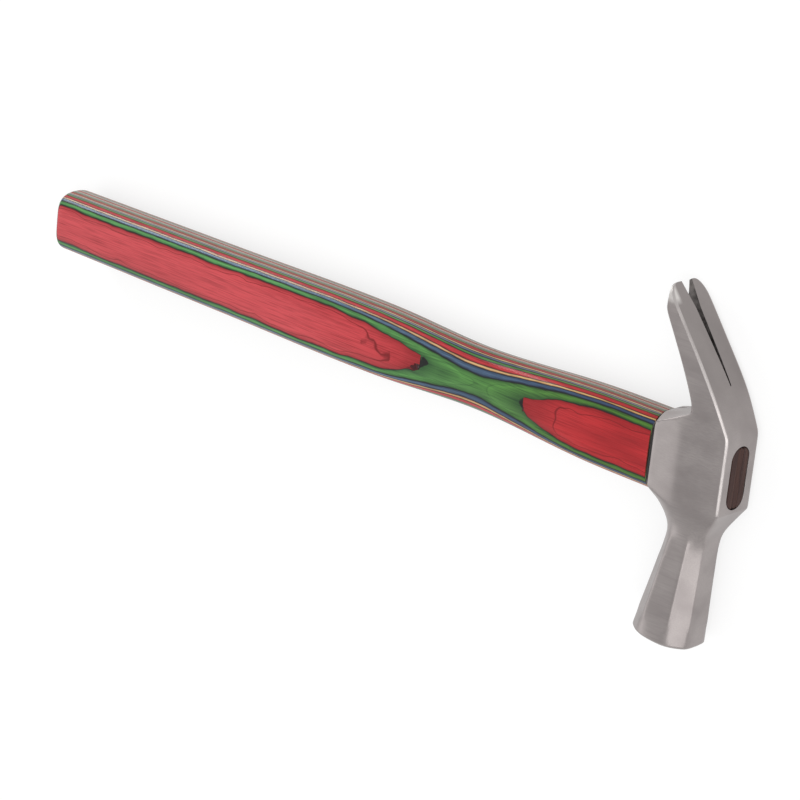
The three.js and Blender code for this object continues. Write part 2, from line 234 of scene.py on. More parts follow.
claw_samples = [spline_point(claw_points, i / claw_sample_count) for i in range(claw_sample_count + 1)]
claw_steps = [(b - a).length for a, b in zip(claw_samples, claw_samples[1:])]
claw_run = sum(claw_steps)


def claw_point(from_root):
    """A point of the claw's outer line and the way it runs there"""
    walked = 0
    for start, end, step in zip(claw_samples, claw_samples[1:], claw_steps):
        if walked + step >= from_root:
            break
        walked += step
    way = (end - start).normalized()
    return start + way * (from_root - walked), way


def claw_ring(from_root):
    """Half of a row of the claw, which thins and rounds off to its tip"""
    point, way = claw_point(from_root)
    to_tip = claw_run - from_root
    body = mix(claw_root, claw_end, from_root / claw_run)
    thick = mix(claw_tip, body, min(1, to_tip / tip_bevel))
    out = Vector((way.y, -way.x))
    settled = min(1, max(0, (from_root - settle_start) / settle_run))
    settled = settled * settled * (3 - 2 * settled)
    into_tip = max(0, 1 - to_tip / tip_rounding)
    narrowed = tip_narrowing * (1 - sqrt(1 - into_tip * into_tip))
    bevel = min(edge_bevel, thick / 3)

    def corner(deep, inset, share=1):
        spot = point - out * deep
        half = mix(side_half(-spot.x), claw_half, settled) - narrowed
        return (spot.x, spot.y, (half - inset) * share)

    return [
        corner(0, 0, 0), corner(0, bevel), corner(bevel, 0), corner(thick / 2, 0),
        corner(thick - bevel, 0), corner(thick, bevel), corner(thick, bevel, 0.5), corner(thick, 0, 0),
    ]


def root_ring():
    """Where the claw springs from the body's top, behind its front line"""
    halves = [side_half(root_cheek[0]), side_half(root_ridge[0]), ridge_half - root_draw_in, body_flat, 0]
    spots = [root_cheek, root_ridge, root_corner, root_back, root_back]
    behind = [(-setback, height, half) for (setback, height), half in zip(spots, halves)]
    return claw_ring(root_start)[:3] + behind


def both_sides(near):
    """A whole ring of the head from its near half"""
    far = [(x, y, -z) for x, y, z in near[-2:0:-1]]
    return [place(*point) for point in near + far]


chamfer = face_chamfer / (face_drop - neck_drop)
face_inset = poll_ring(
    face_setback, face_drop, face_depth - 2 * face_chamfer, face_width - 2 * face_chamfer, face_tilt
)
body_rows = [body_foot, below_eye, above_eye, body_shoulder]
head_rows = [
    face_inset,
    *[poll_part(part) for part in (chamfer, *poll_stations)],
    *[spread(part) for part in foot_stations],
    *[body_ring(*heights) for heights in body_rows],
    root_ring(),
    *[claw_ring(from_root) for from_root in claw_stations],
    *[claw_ring(claw_run - to_tip) for to_tip in tip_stations],
]
face_row, chamfer_row = 0, 1
foot_row = chamfer_row + len(poll_stations) + len(foot_stations) + 1
root_row = foot_row + len(body_rows)
shoulder_row = root_row - 1
bevel_row = root_row + len(claw_stations) + 1
last_row = len(head_rows) - 1
half_columns = len(face_inset) - 1
whole_columns = 2 * half_columns

# Sharpness of the lines that run up the head, zone by zone from the face to the tips, and of the
# lines round it at some rows
zones = ["face", "flare", "poll", "poll", "neck", "foot", "foot", "edge", "body", "body", "body"]
zones += ["root", "fillet"]
zones += ["claw"] * (last_row - len(zones))
up_lines = {
    1: {"face": 0.1, "flare": 0.3, "poll": 0.62, "neck": 0.5, "foot": 0.35, "edge": 0.45, "body": 0.85,
        "root": 0.85, "fillet": 0.85, "claw": 0.85},
    2: {"edge": 0.35, "body": 0.85, "root": 0.85, "fillet": 0.85, "claw": 0.85},
    3: {"face": 0.1, "flare": 0.3, "poll": 0.62, "neck": 0.5, "foot": 0.2},
    4: {"face": 0.1, "flare": 0.3, "poll": 0.62, "neck": 0.45, "foot": 0.1, "edge": 0.2, "body": 0.42,
        "root": 0.2, "fillet": 0.45, "claw": 0.85},
    5: {"face": 0.1, "flare": 0.3, "poll": 0.62, "neck": 0.4, "foot": 0.1, "edge": 0.4, "body": 0.95,
        "root": 0.45, "fillet": 0.7, "claw": 0.85},
    6: {"edge": 0.3, "root": 0.35},
}
round_lines = {
    face_row: [0.85] * half_columns,
    chamfer_row: [0.85] * half_columns,
    foot_row: [0.45, 0.45, 0, 0, 0.25, 0.9, 0.9],
    shoulder_row: [0.3, 0.3, 0, 0, 0.45, 0.95, 0.95],
    root_row: [0, 0, 0, 0, 0.25, 0.5, 0.5],
    bevel_row: [0, 0, 0, 0, 0.3, 0.3, 0.3],
    last_row: [0.7] * half_columns,
}


def near_column(column):
    return min(column, whole_columns - column)


def sharpness(row_a, column_a, row_b, column_b):
    low = min(near_column(column_a), near_column(column_b))
    if row_a != row_b:
        return up_lines.get(low, {}).get(zones[min(row_a, row_b)], 0)
    return round_lines.get(row_a, [0] * half_columns)[low]


edge_columns = 1, 2


def on_highlight_bevel(row, column):
    """1 on the bevel ground up the front of the body and the claw, where a highlight is painted"""
    return float(row >= foot_row and near_column(column) in edge_columns)


ground_edges = [[on_highlight_bevel(row, column) for column in range(whole_columns)] for row in range(last_row + 1)]
head = add_skin("forged_head", [both_sides(ring) for ring in head_rows], ground_edge=ground_edges)
cage = bmesh.new()
cage.from_mesh(head.data)
row, column = cage.verts.layers.int["row"], cage.verts.layers.int["column"]
creases = cage.edges.layers.float.new("crease_edge")
for edge in cage.edges:
    a, b = edge.verts
    edge[creases] = sharpness(a[row], a[column], b[row], b[column])
cage.to_mesh(head.data)
cage.free()
apply_modifier(head, "SUBSURF", levels=rounding_levels, render_levels=rounding_levels)


def slot_outline(height, width, drop, count):
    """A slot with round ends, as heights and widths"""
    radius = width / 2
    reach = height / 2 - radius
    outline = []
    for i in range(count):
        turn = 2 * pi * (i + 0.5) / count
        end = reach if cos(turn) > 0 else -reach
        outline.append((radius * cos(turn) + end - drop, radius * sin(turn)))
    return outline


eye_rows = []
for x, grow in ((-collar_length - eye_past, 0), (-eye_lip, 0), (eye_lip, 2 * eye_lip)):
    outline = slot_outline(eye_height + grow, eye_width + grow, eye_drop, eye_points)
    eye_rows.append([place(x, y, z) for y, z in outline])
cut(head, add_skin("eye_cutter", eye_rows))

slot_start = claw_point(claw_run - slot_length)[0]
slot_way = claw_point(claw_run)[0] - slot_start
slot_run = slot_way.length
slot_way.normalize()
slot_out = Vector((slot_way.y, -slot_way.x))
slot_widest = slot_mouth + (slot_mouth - slot_width) * slot_past / slot_flare
slot_widths = {0: slot_end, slot_run - slot_flare: slot_width, slot_run + slot_past: slot_widest}
slot_rows = []
for walked, width in slot_widths.items():
    lean = mix(*slot_lean, walked / slot_run)
    middle = slot_start + slot_way * walked
    deep, shallow = middle + slot_out * slot_cut_floor, middle + slot_out * slot_cut_top
    corners = [(deep, 1), (shallow, 1), (shallow, -1), (deep, -1)]
    slot_rows.append([place(spot.x, spot.y, lean + sign * width / 2) for spot, sign in corners])
cut(head, add_skin("slot_cutter", slot_rows))
finish_mesh(head)
shade_facets(head, facet_angle)


def add_node(tree, kind, inputs=None, **settings):
    node = tree.nodes.new(kind)
    for label, value in settings.items():
        setattr(node, label, value)
    for label, value in (inputs or {}).items():
        if isinstance(value, bpy.types.NodeSocket):
            tree.links.new(value, node.inputs[label])
        else:
            node.inputs[label].default_value = value
    return node


def new_material(name):
    material = bpy.data.materials.new(name)
    material.use_nodes = True
    return material, material.node_tree, material.node_tree.nodes["Principled BSDF"]


def streaks(tree, spot, stretch, detail=3):
    """Noise drawn out along the way of least stretch, from 0 to 1"""
    scaled = add_node(tree, "ShaderNodeVectorMath", {0: spot, 1: stretch}, operation="MULTIPLY")
    inputs = {"Vector": scaled.outputs[0], "Scale": 1, "Detail": detail}
    return add_node(tree, "ShaderNodeTexNoise", inputs).outputs["Fac"]


def between(tree, value, low, high, to_low=0, to_high=1):
    """A value carried from one range to another"""
    inputs = {"Value": value, "From Min": low, "From Max": high, "To Min": to_low, "To Max": to_high}
    return add_node(tree, "ShaderNodeMapRange", inputs).outputs["Result"]


def blend(tree, part, a, b):
    """One colour turning into another"""
    node = add_node(tree, "ShaderNodeMix", {"Factor": part}, data_type="RGBA")
    for socket, value in ((node.inputs[6], a), (node.inputs[7], b)):
        if isinstance(value, bpy.types.NodeSocket):
            tree.links.new(value, socket)
        else:
            socket.default_value = value
    return node.outputs[2]


def reckon(tree, how, a, b=0.0):
    return add_node(tree, "ShaderNodeMath", {0: a, 1: b}, operation=how).outputs[0]


def component(tree, vector, axis):
    return add_node(tree, "ShaderNodeSeparateXYZ", {"Vector": vector}).outputs[axis]


def dress(piece, *materials):
    piece.data.materials.clear()
    for material in materials:
        piece.data.materials.append(material)


def colour(red, green, blue):
    """A colour picked on screen, as the light it stands for"""
    def light(part):
        part /= 255
        return part / 12.92 if part <= 0.04045 else ((part + 0.055) / 1.055) ** 2.4
    return (light(red), light(green), light(blue), 1)


# Painted light on the steel: painted shade darkens the claw's front, a painted highlight lightens the
# near tip's corner, and another painted highlight lies along the edge line up the front
claw_shade_from, claw_shade_to = 12, 30
glint_from, glint_to = 53.5, 55.5
glint_out_from, glint_out_to = 5.8, 7.2
steel, tree, shader = new_material("satin_steel")
spot = add_node(tree, "ShaderNodeTexCoord").outputs["Object"]
grinding = streaks(tree, spot, (110, 3400, 3400))
patches = streaks(tree, spot, (55, 90, 90), 2)
tone = blend(tree, between(tree, grinding, 0.35, 0.65), colour(155, 148, 147), colour(165, 158, 156))
tone = blend(tree, between(tree, patches, 0.4, 0.75, 0, 0.8), tone, colour(141, 134, 133))
height = component(tree, spot, "Y")
# painted shade: the claw's faces that turn towards the head's end are painted darker, more so higher up
painted_claw_shade = between(tree, height, axis_y + claw_shade_from * mm, axis_y + claw_shade_to * mm, 0, 0.6)
facing = component(tree, add_node(tree, "ShaderNodeNewGeometry").outputs["Normal"], "X")
painted_claw_shade = reckon(tree, "MULTIPLY", painted_claw_shade, between(tree, facing, 0.4, 0.7))
tone = blend(tree, painted_claw_shade, tone, colour(132, 126, 124))
# painted highlight: the near tip's outer corner is painted almost white
glint_height = between(tree, height, axis_y + glint_from * mm, axis_y + glint_to * mm)
outward = component(tree, spot, "Z")
glint_outward = between(tree, outward, middle_z + glint_out_from * mm, middle_z + glint_out_to * mm)
tone = blend(tree, reckon(tree, "MULTIPLY", glint_height, glint_outward), tone, colour(206, 202, 199))
# painted highlight: the bevel up the front is painted lighter, in patches
edge = add_node(tree, "ShaderNodeAttribute", attribute_name="ground_edge").outputs["Fac"]
edge = between(tree, edge, 0.97, 1, 0, between(tree, patches, 0.35, 0.65, 0.45, 1))
tone = blend(tree, edge, tone, colour(186, 180, 178))
tree.links.new(tone, shader.inputs["Base Color"])
tree.links.new(between(tree, grinding, 0.3, 0.7, 0.3, 0.42), shader.inputs["Roughness"])
bump = add_node(tree, "ShaderNodeBump", {"Height": grinding, "Strength": 0.12, "Distance": 0.0001})
tree.links.new(bump.outputs["Normal"], shader.inputs["Normal"])
shader.inputs["Metallic"].default_value = 1

unground, tree, shader = new_material("unground_steel")
spot = add_node(tree, "ShaderNodeTexCoord").outputs["Object"]
scale_marks = streaks(tree, spot, (500, 500, 900), 4)
tone = blend(tree, between(tree, scale_marks, 0.35, 0.65), colour(88, 84, 82), colour(128, 123, 121))
tree.links.new(tone, shader.inputs["Base Color"])
tree.links.new(between(tree, scale_marks, 0.3, 0.7, 0.5, 0.7), shader.inputs["Roughness"])
shader.inputs["Metallic"].default_value = 1

dress(head, steel, unground)
slot_reach, slot_rise, wall_turn = 4, 20, 0.8
for face in head.data.polygons:
    near_slot = abs(face.center.z - middle_z) < slot_reach * mm and face.center.y > axis_y + slot_rise * mm
    face.material_index = int(near_slot and abs(face.normal.z) > wall_turn)
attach(head, "root")
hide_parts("head")

# The handle is a block of thin veneers, each dyed through before it was glued, then carved to an
# oval with a slim waist, so that the sheets show as stripes on its edges and as long islands on
# its cheeks. The middle sheets run on through the eye as the tenon; the whole is varnished.
sheet_thickness = {"red": 1.15, "green": 0.75, "blue": 0.75, "cream": 0.5}
core_dye = "red"
dye_order = ["cream", "blue", "green", "red"]
sheets_per_side = 12
overall_length = 332
shoulder = 31.5
butt_rounding = 2.6
butt_steps = 9
feather_edge = 0.025
section_behind = [shoulder, 60, 113, 162, 240, overall_length]
section_height = [14.1, 13.8, 11.4, 13.1, 12.6, 11.9]
section_thickness = [9.38, 9.34, 8.54, 9.3, 9.38, 9.38]
section_squareness = [4.2, 4.2, 2.2, 4, 4.2, 4.2]
crown = 2.3
tenon_half_height, tenon_half_width = 11, 4.55
wedge_length, wedge_thick, wedge_thin = 24, 2.6, 0.8
wedge_past = 0.3
glue_gap = 0.04
thinnest_slip = 0.03

# The waves of the glue lines, each with its swing, its length and its width: the first is shared by
# the sheets of a side. The outer sheet dips once more, near the tip of the long island.
glue_waves = (0.16, 19, 16), (0.1, 7.5, 10), (0.05, 3, 5)
lane_step = 3.7
tip_behind, tip_height, tip_dip = 135, 1.5, 0.14
tip_half_length, tip_half_height = 14, 5

# How finely the sheets are laid out: points across a sheet and up its edge, steps along it, extra
# steps at the tips of a sheet that runs out, and the share of a crest that its flat points take
flat_points = 9
outer_from, outer_edge_points, inner_edge_points = 7.6, 8, 5
station_step, tenon_step, run_step = 2, 3, 0.5
shortest_run = 20
tip_steps, tip_clear = (0.3, 0.8), 0.2
crest_from, wide_crest, narrow_crest = 9.5, 0.4, 0.03
halvings, edge_tries = 30, 4

glue_heights = [sheet_thickness[core_dye] / 2]
for i in range(sheets_per_side):
    glue_heights.append(glue_heights[-1] + sheet_thickness[dye_order[i % len(dye_order)]])


def through(values, behind):
    """A smooth line through the handle's sections"""
    spots = section_behind
    i = max(i for i in range(len(spots) - 1) if i == 0 or spots[i] <= behind)
    start, end = spots[i], spots[i + 1]
    reach = (end - start) / 2
    first, last = i == 0, i == len(spots) - 2
    pull = -0.5 if first else reach / (start - spots[i - 1])
    push = -0.5 if last else reach / (spots[i + 2] - end)
    before = values[i + 1] if first else values[i - 1]
    after = values[i] if last else values[i + 2]
    p = (behind - start) / (end - start)
    return (
        before * pull * (-(p**3) + 2 * p**2 - p)
        + values[i] * ((1 + pull) * p**3 - (1.5 + 2 * pull) * p**2 + (pull - 0.5) * p + 1)
        + values[i + 1] * (-(1 + push) * p**3 + (1.5 + push) * p**2 + 0.5 * p)
        + after * push * (p**3 - p**2)
    )


def section_at(behind):
    """Half height, half thickness and squareness of the handle, rounded off at the butt"""
    into_end = max(0, 1 - (overall_length - behind) / butt_rounding)
    rounded = butt_rounding * (1 - sqrt(max(0, 1 - into_end * into_end)))
    height = through(section_height, behind) - rounded
    thickness = through(section_thickness, behind) - rounded
    return height, thickness, through(section_squareness, behind)


def glue_height(number, side, behind, y):
    """Height of a glue line over the middle plane; the sheets were pressed a little wavy"""
    lane = side * (number + 1) * lane_step
    waves = 0
    for (swing, length, width), across in zip(glue_waves, (side, lane, lane)):
        waves += swing * noise.noise(Vector((behind / length, y / width, across)))
    if number == sheets_per_side - 1:
        near_height = max(0, 1 - abs(y - tip_height) / tip_half_height)
        waves -= tip_dip * near_height * max(0, 1 - abs(behind - tip_behind) / tip_half_length)
    return glue_heights[number] + waves


def skin_point(section, angle):
    """A point of the carved skin, as a height and a rise over the middle plane"""
    height, thickness, square = section
    z = thickness * abs(sin(angle)) ** (2 / crown) * (1 if angle > 0 else -1)
    return height * max(0, cos(angle)) ** (2 / square), z


def skin_angle(section, z):
    share = min(1, abs(z) / section[1]) ** (crown / 2)
    return asin(share) * (1 if z > 0 else -1)


def skin_reach(section, z):
    return skin_point(section, skin_angle(section, z))[0]


def skin_height(section, y):
    share = min(1, abs(y) / section[0]) ** section[2]
    return section[1] * (1 - share) ** (1 / crown)


def kerf_half(behind):
    """Half width of the saw cut that the wedge fills"""
    return mix(wedge_thick, wedge_thin, behind / wedge_length) / 2 + glue_gap


def tenon_reach(z):
    return tenon_half_height - tenon_half_width + sqrt(max(0, tenon_half_width**2 - z * z))


class Sheet:
    """One veneer between two glue lines, given as functions of the place"""

    def __init__(self, number, dye, lower, upper, side):
        self.name = f"veneer_{number:02d}_{dye}"
        self.dye, self.lower, self.upper, self.side = dye, lower, upper, side
        self.edge_points = outer_edge_points if upper(shoulder, 0) > outer_from else inner_edge_points

    def spare(self, behind):
        """How far the carved skin stands over the sheet's lower glue line"""
        return section_at(behind)[1] - self.lower(behind, 0) - feather_edge

    def runs(self):
        """Lengths of the handle that are thick enough to hold the sheet"""
        count = int((overall_length - shoulder) / run_step) + 1
        steps = [overall_length - i * run_step for i in range(count)]
        found, start = [], None
        for before, here in zip([None] + steps, steps):
            held = self.spare(here) > 0
            if held and start is None:
                start = here if before is None else self.crossing(before, here)
            if not held and start is not None:
                found.append((start, self.crossing(here, before)))
                start = None
        if start is not None:
            found.append((start, shoulder))
        return [(a, b) for a, b in found if a - b > shortest_run]

    def crossing(self, outside, inside):
        """Where the sheet runs out, by halving"""
        for _ in range(halvings):
            half = (outside + inside) / 2
            if self.spare(half) > 0:
                inside = half
            else:
                outside = half
        return inside

    def edge(self, line, section, behind, sign):
        """How far a wavy glue line reaches before it meets the skin"""
        y = skin_reach(section, line(behind, 0))
        for _ in range(edge_tries):
            y = skin_reach(section, line(behind, sign * y))
        return y

    def ring(self, behind):
        """Along the lower glue line, up the skin, back along the upper line or the skin, and down"""
        section = section_at(behind)
        flats = [i / (flat_points - 1) for i in range(flat_points)]
        low = {sign: self.edge(self.lower, section, behind, sign) for sign in (-1, 1)}
        points = [(y, self.lower(behind, y)) for y in (mix(-low[-1], low[1], t) for t in flats)]
        covered = section[1] - self.upper(behind, 0) > feather_edge
        if covered:
            top = {sign: self.edge(self.upper, section, behind, sign) for sign in (-1, 1)}
            across = [(y, self.upper(behind, y)) for y in (mix(top[1], -top[-1], t) for t in flats)]
        else:
            share = wide_crest if self.upper(behind, 0) > crest_from else narrow_crest
            top = {sign: share * low[sign] for sign in (-1, 1)}
            across = [(y, skin_height(section, y)) for y in (mix(top[1], -top[-1], t) for t in flats)]
        climbs = {}
        for sign in (-1, 1):
            start = skin_angle(section, self.lower(behind, sign * low[sign]))
            last = across[0] if sign > 0 else across[-1]
            end = skin_angle(section, last[1])
            steps = [(i + 1) / (self.edge_points + 1) for i in range(self.edge_points)]
            climb = [skin_point(section, mix(start, end, t)) for t in steps]
            climbs[sign] = [(sign * y, z) for y, z in climb]
        return points + climbs[1] + across + climbs[-1][::-1]

    def tenon_ring(self, behind):
        """The same points as a ring, on the tenon's own section"""
        bottom = self.lower(behind, 0)
        if bottom >= 0 and behind < wedge_length:
            bottom = max(bottom, kerf_half(behind))
        top = min(self.upper(behind, 0), tenon_half_width - feather_edge)
        flats = [2 * i / (flat_points - 1) - 1 for i in range(flat_points)]
        steps = [(i + 1) / (self.edge_points + 1) for i in range(self.edge_points)]
        climb = [(tenon_reach(z), z) for z in (mix(bottom, top, t) for t in steps)]
        ring = [(tenon_reach(bottom) * t, bottom) for t in flats] + climb
        ring += [(-tenon_reach(top) * t, top) for t in flats] + [(-y, z) for y, z in climb[::-1]]
        return [(y - eye_drop, z) for y, z in ring]

    def tenon_stations(self):
        """Places along the tenon, down to the front or to where the wedge takes the sheet's room"""
        if self.lower(0, 0) > tenon_half_width - sheet_thickness["cream"]:
            return []
        along_wedge = range(0, wedge_length, tenon_step)
        ends = [d for d in along_wedge if self.upper(d, 0) - kerf_half(d) > thinnest_slip]
        return [shoulder, wedge_length + wedge_past, *sorted(ends, reverse=True)]

    def build(self, run, name):
        """Lays the skin over one run of the sheet and marks its corners sharp"""
        turns = [radians(90 * i / butt_steps) for i in range(butt_steps + 1)]
        rounded = [overall_length - butt_rounding * (1 - sin(turn)) for turn in turns]
        plain = range(int(shoulder) + station_step, int(overall_length - butt_rounding), station_step)
        tips = [run[0] - step for step in tip_steps] + [run[1] + step for step in tip_steps]
        stations = [*rounded, *plain, *tips]
        inner = [d for d in stations if run[1] + tip_clear < d < run[0] - tip_clear]
        along = [run[0], *sorted(inner, reverse=True), run[1]]
        flat_rows = [(d, self.ring(d), handle_drop) for d in along]
        if run[1] == shoulder:
            flat_rows += [(d, self.tenon_ring(d), 0) for d in self.tenon_stations()]
        depths = []
        for behind, ring, _ in flat_rows:
            lines = [(self.lower(behind, y), self.upper(behind, y)) for y, _ in ring]
            depths.append([(z - low) / (high - low) for (_, z), (low, high) in zip(ring, lines)])
        rows = [[place(-d, y - drop, self.side * z) for y, z in ring] for d, ring, drop in flat_rows]
        piece = add_skin(name, rows, sheet_depth=depths)
        bpy.ops.object.shade_smooth()
        upper_start = flat_points + self.edge_points
        corners = {0, flat_points - 1, upper_start, upper_start + flat_points - 1}
        bpy.ops.object.mode_set(mode="EDIT")
        bpy.ops.mesh.select_mode(type="EDGE")
        bpy.ops.mesh.select_all(action="DESELECT")
        mesh = bmesh.from_edit_mesh(piece.data)
        row, column = mesh.verts.layers.int["row"], mesh.verts.layers.int["column"]
        for edge in mesh.edges:
            a, b = edge.verts
            along_corner = a[column] == b[column] and a[column] in corners
            edge.select_set(along_corner or any(len(face.verts) > 4 for face in edge.link_faces))
        bmesh.update_edit_mesh(piece.data)
        bpy.ops.mesh.mark_sharp()
        bpy.ops.object.mode_set(mode="OBJECT")
        finish_mesh(piece)
        return piece


def new_group(name, inputs, outputs):
    group = bpy.data.node_groups.new(name, "ShaderNodeTree")
    for way, sockets in (("INPUT", inputs), ("OUTPUT", outputs)):
        for label, kind in sockets.items():
            group.interface.new_socket(name=label, in_out=way, socket_type=kind)
    return group, group.nodes.new("NodeGroupInput").outputs, group.nodes.new("NodeGroupOutput").inputs


# Grain along the handle, dark glue lines at a sheet's two faces, a growth ring a little way into
# it, painted glare and shade on the edges, a painted sheen towards the butt, and the stain on the tenon's
# end
sheen_from, sheen_full = 50, 200
cloudy_to, cloudy_from = 40, 75
stain_to, stain_from = 0.6, 1.2
thin_glue, thick_glue, dark_reach = 0.12, 0.28, 0.36
ring_depth, ring_wander, ring_thin, ring_thick, ring_core = 0.33, 0.06, 0.016, 0.05, 0.003
varnish_ior, varnish_roughness, varnish_weight = 1.35, 0.15, 0.55
bare_wood_shine = 0.1
figure, given, put = new_group(
    "veneer_figure",
    {"Dye": "NodeSocketColor", "Sheened": "NodeSocketColor", "Dark": "NodeSocketColor",
     "Edge": "NodeSocketColor", "Thickness": "NodeSocketFloat", "Ring": "NodeSocketFloat"},
    {"Color": "NodeSocketColor", "Height": "NodeSocketFloat", "Roughness": "NodeSocketFloat",
     "Varnish": "NodeSocketFloat"},
)
spot = add_node(figure, "ShaderNodeTexCoord").outputs["Object"]
along = component(figure, spot, "X")
part = add_node(figure, "ShaderNodeAttribute", attribute_name="sheet_depth").outputs["Fac"]
depth = reckon(figure, "MULTIPLY", part, given["Thickness"])
fibres = streaks(figure, spot, (60, 2400, 2400))
pores = streaks(figure, spot, (110, 3600, 3600), 2)
clouds = streaks(figure, spot, (18, 120, 120), 2)
# painted sheen: the colour pales from the head towards the butt
butt_sheen = between(figure, along, front_x - sheen_from * mm, front_x - sheen_full * mm)
tone = blend(figure, butt_sheen, given["Dye"], given["Sheened"])
near_head = between(figure, along, front_x - cloudy_from * mm, front_x - cloudy_to * mm, 0.3, 0.75)
tone = blend(figure, between(figure, clouds, 0.45, 0.75, 0, near_head), tone, given["Dark"])
tone = blend(figure, between(figure, fibres, 0.45, 0.75, 0, 0.6), tone, given["Dark"])
tone = blend(figure, between(figure, pores, 0.58, 0.7, 0, 0.3), tone, given["Dark"])
facing = component(figure, add_node(figure, "ShaderNodeNewGeometry").outputs["Normal"], "Z")
facing = reckon(figure, "ABSOLUTE", facing)
# painted glare and shade: the edges, which turn away from the cheeks, are painted in a greyer tone
tone = blend(figure, between(figure, facing, 0.65, 0.15, 0, 0.6), tone, given["Edge"])
other_side = reckon(figure, "SUBTRACT", given["Thickness"], depth)
nearest = reckon(figure, "MINIMUM", depth, other_side)
wobble = streaks(figure, spot, (150, 600, 600), 2)
spread_out = between(figure, facing, 0.95, 0.999, 1, 0.06)
spread_out = reckon(figure, "MULTIPLY", spread_out, between(figure, facing, 0.15, 0.6, 0.4, 1))
reach = reckon(figure, "MULTIPLY", between(figure, wobble, 0.3, 0.7, thin_glue, thick_glue), spread_out)
glue = between(figure, nearest, 0, reach, 0.95, 0)
tone = blend(figure, between(figure, nearest, 0, dark_reach, 0.7, 0), tone, given["Dark"])
tone = blend(figure, glue, tone, colour(22, 18, 22))
wander = between(figure, streaks(figure, spot, (45, 110, 110), 1), 0.3, 0.7, -ring_wander, ring_wander)
off_ring = reckon(figure, "SUBTRACT", reckon(figure, "ADD", depth, wander), ring_depth)
off_ring = reckon(figure, "ABSOLUTE", off_ring)
ring_width = between(figure, facing, 0.97, 0.9995, ring_thick, ring_thin)
ring_line = between(figure, off_ring, ring_core, ring_width, 1, 0)
tone = blend(figure, reckon(figure, "MULTIPLY", ring_line, given["Ring"]), tone, given["Dark"])
stained = between(figure, along, front_x - stain_from * mm, front_x - stain_to * mm)
end_grain = streaks(figure, spot, (300, 60, 900), 2)
stain = blend(figure, between(figure, end_grain, 0.35, 0.7), colour(66, 49, 47), colour(84, 63, 58))
figure.links.new(blend(figure, stained, tone, stain), put["Color"])
figure.links.new(reckon(figure, "ADD", fibres, reckon(figure, "MULTIPLY", glue, -0.6)), put["Height"])
figure.links.new(between(figure, fibres, 0.3, 0.7, 0.45, 0.6), put["Roughness"])
unstained = reckon(figure, "SUBTRACT", 1.0, stained)
figure.links.new(reckon(figure, "MULTIPLY", unstained, varnish_weight), put["Varnish"])

# Each dye as it is, paled by painted sheen towards the butt, dark, and under painted glare on the
# handle's edges, and how strongly its growth ring shows
veneer_dyes = {
    "red": (colour(186, 42, 46), colour(198, 68, 74), colour(112, 14, 20), colour(132, 84, 72), 0.9),
    "green": (colour(78, 122, 44), colour(98, 162, 94), colour(14, 40, 30), colour(166, 166, 132), 0.3),
    "blue": (colour(54, 74, 106), colour(104, 130, 154), colour(18, 24, 42), colour(204, 200, 194), 0.3),
    "cream": (
        colour(236, 192, 120), colour(222, 190, 156), colour(158, 112, 74), colour(250, 236, 216), 0.2,
    ),
}
veneers = {}
for dye, tones in veneer_dyes.items():
    veneer, tree, shader = new_material(f"{dye}_veneer")
    group = add_node(tree, "ShaderNodeGroup", node_tree=figure)
    for label, value in zip(("Dye", "Sheened", "Dark", "Edge", "Ring"), tones):
        group.inputs[label].default_value = value
    group.inputs["Thickness"].default_value = sheet_thickness[dye]
    tree.links.new(group.outputs["Color"], shader.inputs["Base Color"])
    tree.links.new(group.outputs["Roughness"], shader.inputs["Roughness"])
    tree.links.new(group.outputs["Varnish"], shader.inputs["Coat Weight"])
    relief = {"Height": group.outputs["Height"], "Strength": 0.08, "Distance": 0.0002}
    bump = add_node(tree, "ShaderNodeBump", relief)
    tree.links.new(bump.outputs["Normal"], shader.inputs["Normal"])
    shader.inputs["Specular IOR Level"].default_value = bare_wood_shine
    shader.inputs["Coat IOR"].default_value = varnish_ior
    shader.inputs["Coat Roughness"].default_value = varnish_roughness
    veneers[dye] = veneer


def glue_line(number, side):
    return lambda behind, y: glue_height(number, side, behind, y)


core_number = sheets_per_side + 1
stack = [Sheet(core_number, core_dye, lambda d, y: -glue_height(0, -1, d, y), glue_line(0, 1), 1)]
for i in range(sheets_per_side):
    dye = dye_order[i % len(dye_order)]
    for number, side in ((sheets_per_side - i, 1), (core_number + 1 + i, -1)):
        stack.append(Sheet(number, dye, glue_line(i, side), glue_line(i + 1, side), side))
for sheet in stack:
    runs = sheet.runs()
    places = ["_rear", "_front"] if len(runs) > 1 else [""]
    for run, end in zip(runs, places):
        piece = sheet.build(run, f"{sheet.name}{end}_sheet")
        dress(piece, veneers[sheet.dye])
        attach(piece, "root")
        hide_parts(sheet.name + end)

# The wedge is a slip of dark hardwood, driven into a saw cut in the tenon to spread it in the eye,
# then ground off flush with the front of the head.
wedge_edge, wedge_edge_length = 0.1, 0.4
wedge_points = 24
small_piece_angle = 40
wedge_rows = []
wedge_reach = tenon_reach(wedge_thick / 2)
for behind in (wedge_length, wedge_length / 2, wedge_edge_length, 0):
    half = mix(wedge_thick, wedge_thin, behind / wedge_length) / 2
    eased = wedge_edge if behind == 0 else 0
    outline = slot_outline(2 * (wedge_reach - eased), 2 * (half - eased), eye_drop, wedge_points)
    wedge_rows.append([place(-behind, y, z) for y, z in outline])
wedge = add_skin("eye_wedge_slip", wedge_rows)
finish_mesh(wedge)
shade_facets(wedge, small_piece_angle)
wedge_wood, tree, shader = new_material("dark_wedge_wood")
spot = add_node(tree, "ShaderNodeTexCoord").outputs["Object"]
end_grain = streaks(tree, spot, (60, 60, 1400), 2)
tone = blend(tree, between(tree, end_grain, 0.35, 0.7), colour(64, 47, 45), colour(88, 64, 58))
tree.links.new(tone, shader.inputs["Base Color"])
tree.links.new(between(tree, end_grain, 0.3, 0.7, 0.5, 0.65), shader.inputs["Roughness"])
shader.inputs["Specular IOR Level"].default_value = bare_wood_shine
dress(wedge, wedge_wood)
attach(wedge, "root")
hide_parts("eye_wedge")
